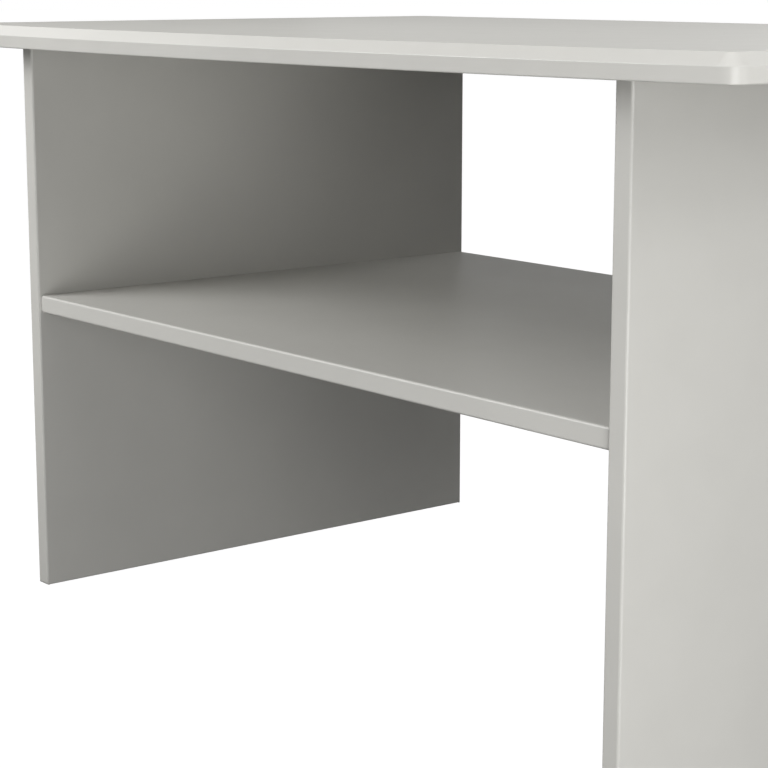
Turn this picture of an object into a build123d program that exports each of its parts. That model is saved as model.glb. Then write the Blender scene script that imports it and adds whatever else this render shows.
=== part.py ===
"""Bow-fronted desk: a bevelled top on two slab ends, tied together by a full-depth shelf.

Frame: millimetres, +Z up, the origin on the floor under the middle of the whole desk in plan.
-Y is the bowed front, where the user stands, and +X is the user's right.
"""

import os

from build123d import *

os.makedirs("parts", exist_ok=True)

# ---- driving dimensions ----
BOARD = 22.0  # finished thickness of the end panels and the shelf
CLEAR_WIDTH = 1026.0  # between the end panels
PANEL_DEPTH = 710.0
TOP_UNDERSIDE = 695.0  # the end panels' full height
SHELF_TOP = 382.0
SHELF_FRONT_SETBACK = 4.0  # behind the end panels' front edges
SHELF_REAR_SETBACK = 4.0

TOP_END_OVERHANG = 142.0  # past each end panel's outer face
TOP_REAR_OVERHANG = 60.0
TOP_FRONT_OVERHANG = 70.0  # at the middle of the bow, ahead of the end panels
BOW = 42.0  # how far the front edge stands out at its middle
TOP_FACE = 15.0  # upright part of the top's edge
BEVEL = 11.5  # 45 degree bevel above it, which gives a top 26.5 mm thick
TOP_CORNER_RADIUS = 20.0
BEVEL_ARRIS = 1.0
LOWER_ARRIS = 1.5

EDGING = 3.0  # thick plastic edging strip
EDGING_ARRIS = 2.8  # the strip's outer corners are rounded over almost their whole depth

TOP_DOWELS = 5  # along each end panel
TOP_DOWEL_END_INSET = 60.0  # from the end panel's front and rear edges
SHELF_DOWEL_SPREAD = 150.0  # either side of the shelf's middle
DOWEL_RADIUS = 4.0
DOWEL_CHAMFER = 1.0
DOWEL_IN_END = 24.0  # in the end of a board's edge
DOWEL_IN_FACE = 12.0  # in the flat of the board that it meets
GLUE_GAP = 0.1
GLUE_POCKET = 1.0

BOLT_THREAD_RADIUS = 2.5
BOLT_THREAD_LENGTH = 11.0
BOLT_THREAD_CORE_RADIUS = 1.8
BOLT_RIDGES = 5  # each as long as the gap after it
BOLT_COLLAR_RADIUS = 3.7
BOLT_COLLAR_LENGTH = 3.0
BOLT_SHANK_RADIUS = 3.0
BOLT_NECK_RADIUS = 2.0
BOLT_NECK_LENGTH = 4.0
BOLT_HEAD_LENGTH = 3.0
BOLT_BORE_RADIUS = 4.0  # in the shelf's end
CAM_SPREAD = 290.0  # either side of the shelf's middle
CAM_SETBACK = 34.0  # from the end panel's face to the middle of the cam
CAM_RADIUS = 7.4
CAM_BORE_RADIUS = 7.5
CAM_DEPTH = 16.0  # bored up into the shelf's underside
CAM_RIM = 0.2  # how far the cam stays inside the shelf's underside
CAM_SLACK = 0.3  # round the bolt's neck and head
CAM_SHANK_GAP = 1.0  # between the bolt's shank and the cam
CAM_DRIVE_LENGTH = 8.0
CAM_DRIVE_WIDTH = 1.6
CAM_DRIVE_DEPTH = 2.0

# ---- worked-out places ----
inner_x = CLEAR_WIDTH / 2
outer_x = inner_x + BOARD
top_half = outer_x + TOP_END_OVERHANG
desk_depth = TOP_FRONT_OVERHANG + PANEL_DEPTH + TOP_REAR_OVERHANG
top_front = -desk_depth / 2
top_rear = desk_depth / 2
top_corner_front = top_front + BOW
panel_front = top_front + TOP_FRONT_OVERHANG
panel_rear = panel_front + PANEL_DEPTH
shelf_front = panel_front + SHELF_FRONT_SETBACK
shelf_rear = panel_rear - SHELF_REAR_SETBACK
shelf_middle = (shelf_front + shelf_rear) / 2
shelf_under = SHELF_TOP - BOARD
shelf_centre = SHELF_TOP - BOARD / 2
bevel_start = TOP_UNDERSIDE + TOP_FACE
bolt_neck_start = CAM_SETBACK - CAM_RADIUS - CAM_SHANK_GAP
bolt_head_start = bolt_neck_start + BOLT_NECK_LENGTH
bolt_end = bolt_head_start + BOLT_HEAD_LENGTH
bolt_ridge = BOLT_THREAD_LENGTH / (2 * BOLT_RIDGES)

top_dowel_first = panel_front + TOP_DOWEL_END_INSET
top_dowel_pitch = (PANEL_DEPTH - 2 * TOP_DOWEL_END_INSET) / (TOP_DOWELS - 1)
top_dowel_y = [top_dowel_first + step * top_dowel_pitch for step in range(TOP_DOWELS)]
shelf_dowel_y = [shelf_middle - SHELF_DOWEL_SPREAD, shelf_middle + SHELF_DOWEL_SPREAD]
cam_y = [shelf_middle - CAM_SPREAD, shelf_middle, shelf_middle + CAM_SPREAD]

SIDES = {"left": -1, "right": 1}
ON_PLANE = (Align.CENTER, Align.CENTER, Align.MIN)


def save(part, name):
    part.label = name
    export_step(part, f"parts/{name}.step")


def span_box(low, high, mode=Mode.ADD):
    """A box given by its lowest and highest corners, inside the current part."""
    size = [b - a for a, b in zip(low, high)]
    with Locations(low):
        Box(*size, align=(Align.MIN, Align.MIN, Align.MIN), mode=mode)


def joint_plane(side, y):
    """At an end panel's inner face, level with the shelf's middle, looking into the shelf."""
    return Plane(origin=(side * inner_x, y, shelf_centre), x_dir=(0, 1, 0), z_dir=(-side, 0, 0))


def rod(plane, radius, start, stop, mode=Mode.ADD):
    """A round bar along a plane's normal, from start to stop, inside the current part."""
    with Locations(plane.offset(start)):
        Cylinder(radius, stop - start, align=ON_PLANE, mode=mode)


def bore(plane, radius, start, stop):
    """Cuts a round hole along a plane's normal, from start to stop."""
    rod(plane, radius, start, stop, mode=Mode.SUBTRACT)


def panel_top_plane(side, y):
    """On an end panel's top edge, in the middle of its thickness, looking up."""
    return Plane(origin=(side * (inner_x + BOARD / 2), y, TOP_UNDERSIDE))


def cam_plane(side, y):
    """On the shelf's underside, at the middle of a cam, looking up."""
    return Plane(origin=(side * (inner_x - CAM_SETBACK), y, shelf_under))


# ---- desktop: one board, bowed at the front, with a bevel all round its upper edge ----
with BuildPart() as desktop:
    with BuildSketch(Plane.XY.offset(TOP_UNDERSIDE)) as outline:
        with BuildLine():
            ThreePointArc((-top_half, top_corner_front), (0, top_front), (top_half, top_corner_front))
            Polyline(
                (top_half, top_corner_front),
                (top_half, top_rear),
                (-top_half, top_rear),
                (-top_half, top_corner_front),
            )
        make_face()
        fillet(outline.vertices(), radius=TOP_CORNER_RADIUS)
    extrude(amount=TOP_FACE + BEVEL)
    chamfer(desktop.faces().sort_by(Axis.Z)[-1].edges(), length=BEVEL)
    upper_rim = desktop.edges().group_by(Axis.Z)[-1]
    lower_rim = desktop.edges().filter_by_position(
        Axis.Z, bevel_start, bevel_start, inclusive=(True, True)
    )
    fillet(upper_rim + lower_rim, radius=BEVEL_ARRIS)
    fillet(desktop.faces().sort_by(Axis.Z)[0].edges(), radius=LOWER_ARRIS)
    for side in SIDES.values():
        for y in top_dowel_y:
            bore(panel_top_plane(side, y), DOWEL_RADIUS + GLUE_GAP, 0, DOWEL_IN_FACE)
save(desktop.part, "desktop")

# ---- shelf ----
with BuildPart() as shelf:
    span_box(
        (-inner_x, shelf_front + EDGING, shelf_under),
        (inner_x, shelf_rear - EDGING, SHELF_TOP),
    )
    for side in SIDES.values():
        for y in shelf_dowel_y:
            bore(joint_plane(side, y), DOWEL_RADIUS + GLUE_GAP, 0, DOWEL_IN_END + GLUE_POCKET)
        for y in cam_y:
            bore(joint_plane(side, y), BOLT_BORE_RADIUS, 0, CAM_SETBACK)
            bore(cam_plane(side, y), CAM_BORE_RADIUS, 0, CAM_DEPTH)
save(shelf.part, "shelf")

# ---- edging on the shelf's front and rear edges ----
for where, outer_y, inner_y in (
    ("front", shelf_front, shelf_front + EDGING),
    ("rear", shelf_rear, shelf_rear - EDGING),
):
    with BuildPart() as shelf_edging:
        span_box(
            (-inner_x, min(outer_y, inner_y), shelf_under),
            (inner_x, max(outer_y, inner_y), SHELF_TOP),
        )
        long_edges = shelf_edging.edges().filter_by(Axis.X)
        fillet(long_edges.filter_by_position(Axis.Y, outer_y, outer_y), radius=EDGING_ARRIS)
    save(shelf_edging.part, f"edging_shelf_{where}")

for name, side in SIDES.items():
    near_x = min(side * inner_x, side * outer_x)
    far_x = max(side * inner_x, side * outer_x)

    # ---- end panel: the board inside its edging ----
    with BuildPart() as panel:
        span_box(
            (near_x, panel_front + EDGING, EDGING),
            (far_x, panel_rear - EDGING, TOP_UNDERSIDE),
        )
        for y in top_dowel_y:
            bore(panel_top_plane(side, y), DOWEL_RADIUS + GLUE_GAP, -DOWEL_IN_END - GLUE_POCKET, 0)
        for y in shelf_dowel_y:
            bore(joint_plane(side, y), DOWEL_RADIUS + GLUE_GAP, -DOWEL_IN_FACE, 0)
        for y in cam_y:
            thread_end = -BOLT_THREAD_LENGTH - GLUE_POCKET
            bore(joint_plane(side, y), BOLT_THREAD_RADIUS + GLUE_GAP, thread_end, 0)
    save(panel.part, f"end_panel_{name}")

    # ---- edging on the end panel's front, rear and floor edges ----
    for where, outer_y, inner_y in (
        ("front", panel_front, panel_front + EDGING),
        ("rear", panel_rear, panel_rear - EDGING),
    ):
        with BuildPart() as upright_edging:
            span_box(
                (near_x, min(outer_y, inner_y), 0),
                (far_x, max(outer_y, inner_y), TOP_UNDERSIDE),
            )
            outer_edges = upright_edging.edges().filter_by_position(Axis.Y, outer_y, outer_y)
            fillet(outer_edges.sort_by(Axis.Z)[:-1], radius=EDGING_ARRIS)
        save(upright_edging.part, f"edging_{name}_{where}")

    with BuildPart() as floor_edging:
        span_box((near_x, panel_front + EDGING, 0), (far_x, panel_rear - EDGING, EDGING))
        lower_edges = floor_edging.edges().filter_by(Axis.Y).group_by(Axis.Z)[0]
        fillet(lower_edges, radius=EDGING_ARRIS)
    save(floor_edging.part, f"edging_{name}_floor")

    # ---- glued dowels between the top and the end panel ----
    with BuildPart() as top_dowels:
        for y in top_dowel_y:
            rod(panel_top_plane(side, y), DOWEL_RADIUS, -DOWEL_IN_END, DOWEL_IN_FACE)
        chamfer(top_dowels.edges().filter_by(GeomType.CIRCLE), length=DOWEL_CHAMFER)
    save(top_dowels.part, f"dowels_top_{name}")

    # ---- dowels between the shelf and the end panel ----
    with BuildPart() as shelf_dowels:
        for y in shelf_dowel_y:
            rod(joint_plane(side, y), DOWEL_RADIUS, -DOWEL_IN_FACE, DOWEL_IN_END)
        chamfer(shelf_dowels.edges().filter_by(GeomType.CIRCLE), length=DOWEL_CHAMFER)
    save(shelf_dowels.part, f"dowels_shelf_{name}")

    # ---- shelf fittings: a bolt screwed into the end panel and a turned cam that pulls on its head ----
    with BuildPart() as bolts:
        for y in cam_y:
            face = joint_plane(side, y)
            rod(face, BOLT_THREAD_CORE_RADIUS, -BOLT_THREAD_LENGTH, 0)
            for ridge in range(BOLT_RIDGES):
                start = 2 * ridge * bolt_ridge - BOLT_THREAD_LENGTH
                rod(face, BOLT_THREAD_RADIUS, start, start + bolt_ridge)
            rod(face, BOLT_COLLAR_RADIUS, 0, BOLT_COLLAR_LENGTH)
            rod(face, BOLT_SHANK_RADIUS, BOLT_COLLAR_LENGTH, bolt_neck_start)
            rod(face, BOLT_NECK_RADIUS, bolt_neck_start, bolt_head_start)
            rod(face, BOLT_SHANK_RADIUS, bolt_head_start, bolt_end)
    save(bolts.part, f"cam_bolts_{name}")

    with BuildPart() as cams:
        for y in cam_y:
            face = joint_plane(side, y)
            rod(cam_plane(side, y), CAM_RADIUS, CAM_RIM, CAM_DEPTH)
            bore(face, BOLT_NECK_RADIUS + CAM_SLACK, bolt_neck_start - CAM_RADIUS, bolt_head_start)
            bore(face, BOLT_SHANK_RADIUS + CAM_SLACK, bolt_head_start, bolt_end + CAM_SLACK)
            with Locations(cam_plane(side, y).offset(CAM_RIM)):
                for length, width in (
                    (CAM_DRIVE_LENGTH, CAM_DRIVE_WIDTH),
                    (CAM_DRIVE_WIDTH, CAM_DRIVE_LENGTH),
                ):
                    Box(length, width, CAM_DRIVE_DEPTH, align=ON_PLANE, mode=Mode.SUBTRACT)
    save(cams.part, f"cams_{name}")
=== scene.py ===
"""Bow-fronted desk: a bevelled top on two slab ends, with a full-depth shelf between them."""

import math

import bpy
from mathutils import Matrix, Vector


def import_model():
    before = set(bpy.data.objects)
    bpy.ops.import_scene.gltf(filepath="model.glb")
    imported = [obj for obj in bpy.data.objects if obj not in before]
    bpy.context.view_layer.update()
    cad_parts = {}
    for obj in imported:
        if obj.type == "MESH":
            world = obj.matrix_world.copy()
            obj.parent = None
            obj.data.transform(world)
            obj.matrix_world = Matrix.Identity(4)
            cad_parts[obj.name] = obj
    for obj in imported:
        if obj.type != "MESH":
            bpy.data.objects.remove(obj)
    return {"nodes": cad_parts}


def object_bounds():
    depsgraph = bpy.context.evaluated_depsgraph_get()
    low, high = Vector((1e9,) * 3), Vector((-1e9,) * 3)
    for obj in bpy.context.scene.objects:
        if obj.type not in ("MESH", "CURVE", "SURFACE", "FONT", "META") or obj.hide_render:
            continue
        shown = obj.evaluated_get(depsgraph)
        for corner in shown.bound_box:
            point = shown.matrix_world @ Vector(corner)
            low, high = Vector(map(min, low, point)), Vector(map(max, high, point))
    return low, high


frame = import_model()
cad_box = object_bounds()
nodes = frame["nodes"]

MM = 0.001
SIDES = ("left", "right")

# sockets of Blender's colour mix node
MIX_FIRST, MIX_SECOND, MIX_RESULT = 6, 7, 2


def colour(r, g, b):
    return (r, g, b, 1.0)


GREY = colour(0.550, 0.543, 0.513)  # the coating and the edging
WHITE = colour(1, 1, 1)

# the camera: focal length in mm on a 36 mm sensor, place in metres, angles in degrees
CAMERA_SENSOR = 36.0
CAMERA_LENS = 99.28
CAMERA_PLACE = (1.8428, -1.6706, 0.7828)
CAMERA_TURN = 51.370  # anticlockwise from looking along +Y
CAMERA_TILT_DOWN = 10.940
CAMERA_REACH = 200.0

FLOOR_HALF = 40.0  # metres from the middle to each edge
LEVEL = 90  # degrees from looking straight down to looking level


# ---- small helpers for node trees ----


class Tree:
    """Adds and links nodes in one material or world."""

    def __init__(self, owner):
        owner.use_nodes = True
        self.nodes = owner.node_tree.nodes
        self.links = owner.node_tree.links
        self.nodes.clear()

    def add(self, kind, inputs=None, **settings):
        node = self.nodes.new(kind)
        for key, value in settings.items():
            setattr(node, key, value)
        for key, value in (inputs or {}).items():
            self.set(node.inputs[key], value)
        return node

    def set(self, socket, value):
        if isinstance(value, bpy.types.NodeSocket):
            self.links.new(value, socket)
        else:
            socket.default_value = value

    def place(self, stretch=(1, 1, 1)):
        """The piece's own coordinates, in metres, stretched by direction."""
        coords = self.add("ShaderNodeTexCoord").outputs["Object"]
        mapping = self.add("ShaderNodeMapping", {"Vector": coords, "Scale": stretch})
        return mapping.outputs["Vector"]

    def noise(self, size, detail=3.0, roughness=0.5, stretch=(1, 1, 1)):
        """Noise whose blotches are about size metres across."""
        node = self.add(
            "ShaderNodeTexNoise",
            {
                "Vector": self.place(stretch),
                "Scale": 1 / size,
                "Detail": detail,
                "Roughness": roughness,
            },
        )
        return node.outputs["Fac"]

    def spread(self, value, low, high, from_low=0.3, from_high=0.7):
        """Maps a noise onto the span from low to high."""
        node = self.add(
            "ShaderNodeMapRange",
            {
                "Value": value,
                "From Min": from_low,
                "From Max": from_high,
                "To Min": low,
                "To Max": high,
            },
        )
        return node.outputs["Result"]

    def blend(self, fac, first, second):
        """Mixes two colours."""
        node = self.add("ShaderNodeMix", data_type="RGBA")
        self.set(node.inputs["Factor"], fac)
        self.set(node.inputs[MIX_FIRST], first)
        self.set(node.inputs[MIX_SECOND], second)
        return node.outputs[MIX_RESULT]

    def bump(self, height, depth, normal=None):
        """A bump whose height runs from 0 to depth metres."""
        inputs = {"Height": height, "Distance": depth, "Strength": 1.0}
        if normal is not None:
            inputs["Normal"] = normal
        return self.add("ShaderNodeBump", inputs).outputs["Normal"]

    def finish(self, inputs):
        """Closes the tree with a Principled shader."""
        shader = self.add("ShaderNodeBsdfPrincipled", inputs)
        self.add("ShaderNodeOutputMaterial", {"Surface": shader.outputs["BSDF"]})


def shade(tone, factor):
    """A colour made darker or lighter by a factor."""
    return colour(*(channel * factor for channel in tone[:3]))


# ---- materials ----


def board_finish(name):
    """Satin coating on fibreboard: faint clouding, a fine peel and a slightly uneven gloss."""
    material = bpy.data.materials.new(name)
    tree = Tree(material)
    clouds = tree.spread(tree.noise(90 * MM, detail=4.0, roughness=0.6), 0, 1)
    peel = tree.noise(1.6 * MM, detail=2.0)
    swell = tree.noise(14 * MM, detail=2.0)
    gloss = tree.spread(tree.noise(45 * MM, detail=5.0, roughness=0.65), 0.37, 0.44)
    normal = tree.bump(peel, 0.010 * MM, tree.bump(swell, 0.03 * MM))
    tree.finish(
        {
            "Base Color": tree.blend(clouds, shade(GREY, 0.985), shade(GREY, 1.015)),
            "Roughness": gloss,
            "Normal": normal,
            "IOR": 1.50,
        }
    )
    return material


def edging_finish(name, along):
    """Extruded plastic strip: faint lines drawn along it, a little smoother than the board."""
    material = bpy.data.materials.new(name)
    tree = Tree(material)
    stretch = tuple(0.02 if axis == along else 1.0 for axis in "XYZ")
    lines = tree.noise(0.9 * MM, detail=3.0, stretch=stretch)
    clouds = tree.spread(tree.noise(60 * MM), 0, 1)
    tree.finish(
        {
            "Base Color": tree.blend(clouds, shade(GREY, 0.99), shade(GREY, 1.02)),
            "Roughness": tree.spread(lines, 0.33, 0.40),
            "Normal": tree.bump(lines, 0.006 * MM),
            "IOR": 1.50,
        }
    )
    return material


def beech(name, along):
    """Turned beech rod: short pale grain along its length, with darker flecks."""
    material = bpy.data.materials.new(name)
    tree = Tree(material)
    stretch = tuple(0.08 if axis == along else 1.0 for axis in "XYZ")
    grain = tree.noise(0.7 * MM, detail=4.0, roughness=0.6, stretch=stretch)
    flecks = tree.spread(tree.noise(0.4 * MM, stretch=stretch), 0, 1, 0.62, 0.70)
    wood = tree.blend(tree.spread(grain, 0, 1), colour(0.52, 0.33, 0.17), colour(0.68, 0.47, 0.27))
    tree.finish(
        {
            "Base Color": tree.blend(flecks, wood, colour(0.34, 0.19, 0.09)),
            "Roughness": tree.spread(grain, 0.55, 0.75),
            "Normal": tree.bump(grain, 0.05 * MM),
        }
    )
    return material


def plated_steel(name):
    """Zinc-plated bolt: bright, slightly hazy metal with turning marks round it."""
    material = bpy.data.materials.new(name)
    tree = Tree(material)
    rings = tree.noise(0.3 * MM, stretch=(1.0, 0.05, 0.05))
    haze = tree.spread(tree.noise(3 * MM), 0, 1)
    tree.finish(
        {
            "Base Color": tree.blend(haze, colour(0.62, 0.60, 0.55), colour(0.72, 0.71, 0.68)),
            "Metallic": 1.0,
            "Roughness": tree.spread(rings, 0.24, 0.38),
            "Normal": tree.bump(rings, 0.01 * MM),
        }
    )
    return material


def cast_zinc(name):
    """Die-cast cam: dull grey metal with a fine cast skin."""
    material = bpy.data.materials.new(name)
    tree = Tree(material)
    skin = tree.noise(0.35 * MM, detail=4.0)
    stain = tree.spread(tree.noise(2.5 * MM), 0, 1)
    tree.finish(
        {
            "Base Color": tree.blend(stain, colour(0.42, 0.42, 0.43), colour(0.53, 0.53, 0.54)),
            "Metallic": 1.0,
            "Roughness": tree.spread(skin, 0.42, 0.60),
            "Normal": tree.bump(skin, 0.03 * MM),
        }
    )
    return material


def dress(material, *names):
    """Gives one material to several CAD nodes."""
    for name in names:
        mesh = nodes[name].data
        mesh.materials.clear()
        mesh.materials.append(material)


dress(board_finish("board_coating"), "desktop", "shelf", "end_panel_left", "end_panel_right")
dress(
    edging_finish("edging_upright", "Z"),
    *(f"edging_{s}_{end}" for s in SIDES for end in ("front", "rear")),
)
dress(edging_finish("edging_floor", "Y"), *(f"edging_{s}_floor" for s in SIDES))
dress(edging_finish("edging_shelf", "X"), "edging_shelf_front", "edging_shelf_rear")
dress(beech("beech_upright", "Z"), *(f"dowels_top_{s}" for s in SIDES))
dress(beech("beech_level", "X"), *(f"dowels_shelf_{s}" for s in SIDES))
dress(plated_steel("plated_steel"), *(f"cam_bolts_{s}" for s in SIDES))
dress(cast_zinc("cast_zinc"), *(f"cams_{s}" for s in SIDES))


# ---- floor, light and camera ----


def floor():
    """A wide white floor that the desk stands on. It glows evenly, so it takes no shadow."""
    half = FLOOR_HALF
    mesh = bpy.data.meshes.new("studio_floor")
    corners = [(-half, -half, 0), (half, -half, 0), (half, half, 0), (-half, half, 0)]
    mesh.from_pydata(corners, [], [(0, 1, 2, 3)])
    plane = bpy.data.objects.new("studio_floor", mesh)
    bpy.context.scene.collection.objects.link(plane)
    material = bpy.data.materials.new("studio_floor")
    tree = Tree(material)
    cloud = tree.spread(tree.noise(0.5), 0, 1)
    tree.finish(
        {
            "Base Color": tree.blend(cloud, colour(0.03, 0.03, 0.03), colour(0.04, 0.04, 0.04)),
            "Roughness": 0.9,
            "Emission Color": WHITE,
            "Emission Strength": 1.0,
        }
    )
    mesh.materials.append(material)
    plane.visible_diffuse = False
    plane.visible_glossy = False
    plane.visible_shadow = False


def world(fill):
    """Dim even light all round; the camera sees a white backdrop."""
    studio = bpy.data.worlds.new("studio")
    bpy.context.scene.world = studio
    tree = Tree(studio)
    light_path = tree.add("ShaderNodeLightPath")
    dim = tree.add("ShaderNodeBackground", {"Color": WHITE, "Strength": fill})
    bright = tree.add("ShaderNodeBackground", {"Color": WHITE, "Strength": 1.0})
    seen = light_path.outputs["Is Camera Ray"]
    mix = tree.add("ShaderNodeMixShader", {"Fac": seen, 1: dim.outputs[0], 2: bright.outputs[0]})
    tree.add("ShaderNodeOutputWorld", {"Surface": mix.outputs[0]})


def soft_light(name, size, power):
    """An area light of the given width and height. The camera doesn't see the lamp itself."""
    data = bpy.data.lights.new(name, "AREA")
    data.shape = "RECTANGLE"
    data.size, data.size_y = size
    data.energy = power
    lamp = bpy.data.objects.new(name, data)
    bpy.context.scene.collection.objects.link(lamp)
    lamp.visible_camera = False
    return lamp


def softbox(name, azimuth, elevation, distance, size, power):
    """A softbox aimed at the middle of the desk.

    Azimuth 0 stands at the front and 90 at the right, in degrees. The distance and the size
    are in metres, and the power is in watts.
    """
    lamp = soft_light(name, size, power)
    turn, lift = math.radians(azimuth), math.radians(elevation)
    reach = distance * math.cos(lift)
    low, high = cad_box
    middle_height = (low[2] + high[2]) / 2
    lamp.location = (
        reach * math.sin(turn),
        -reach * math.cos(turn),
        middle_height + distance * math.sin(lift),
    )
    lamp.rotation_euler = (math.radians(LEVEL) - lift, 0, turn)


def floor_glow(name, x, y, size, power):
    """Light thrown up by a patch of the white floor."""
    lamp = soft_light(name, size, power)
    lamp.location = (x, y, 0)
    lamp.rotation_euler = (math.pi, 0, 0)


def camera():
    """Looks down across the desk from beside its right end, in front."""
    data = bpy.data.cameras.new("camera")
    data.sensor_width = CAMERA_SENSOR
    data.lens = CAMERA_LENS
    data.clip_end = CAMERA_REACH
    seen_from = bpy.data.objects.new("camera", data)
    bpy.context.scene.collection.objects.link(seen_from)
    seen_from.location = CAMERA_PLACE
    seen_from.rotation_euler = (
        math.radians(LEVEL - CAMERA_TILT_DOWN),
        0,
        math.radians(CAMERA_TURN),
    )
    bpy.context.scene.camera = seen_from


floor()
world(fill=0.05)
# name, azimuth, elevation, distance, (width, height), power
softbox("overhead", 0, 90, 2.4, (1.6, 1.6), 19)
softbox("right_high", 90, 50, 2.7, (1.5, 1.5), 14)
softbox("right", 90, 30, 3.0, (2.4, 1.4), 23)
softbox("front_right", 60, 8, 2.4, (0.6, 0.6), 8.5)
softbox("front_right_low", 62, -6, 2.2, (0.8, 0.6), 14.5)
softbox("front_right_bounce", 60, -35, 2.2, (0.8, 0.6), 3.5)
softbox("front_left", -33, 26, 3.2, (2.2, 1.4), 56)
softbox("front_left_high", -28, 42, 2.8, (1.6, 1.4), 22)
softbox("left", -76, 22, 3.0, (2.0, 1.2), 8)
softbox("back", 185, 36, 3.0, (2.6, 1.5), 22)
softbox("back_left", 215, 12, 3.2, (2.6, 1.0), 3)
floor_glow("floor_front", -0.5, -1.0, (0.5, 0.3), 1.5)
camera()
bpy.context.scene.view_settings.view_transform = "Standard"
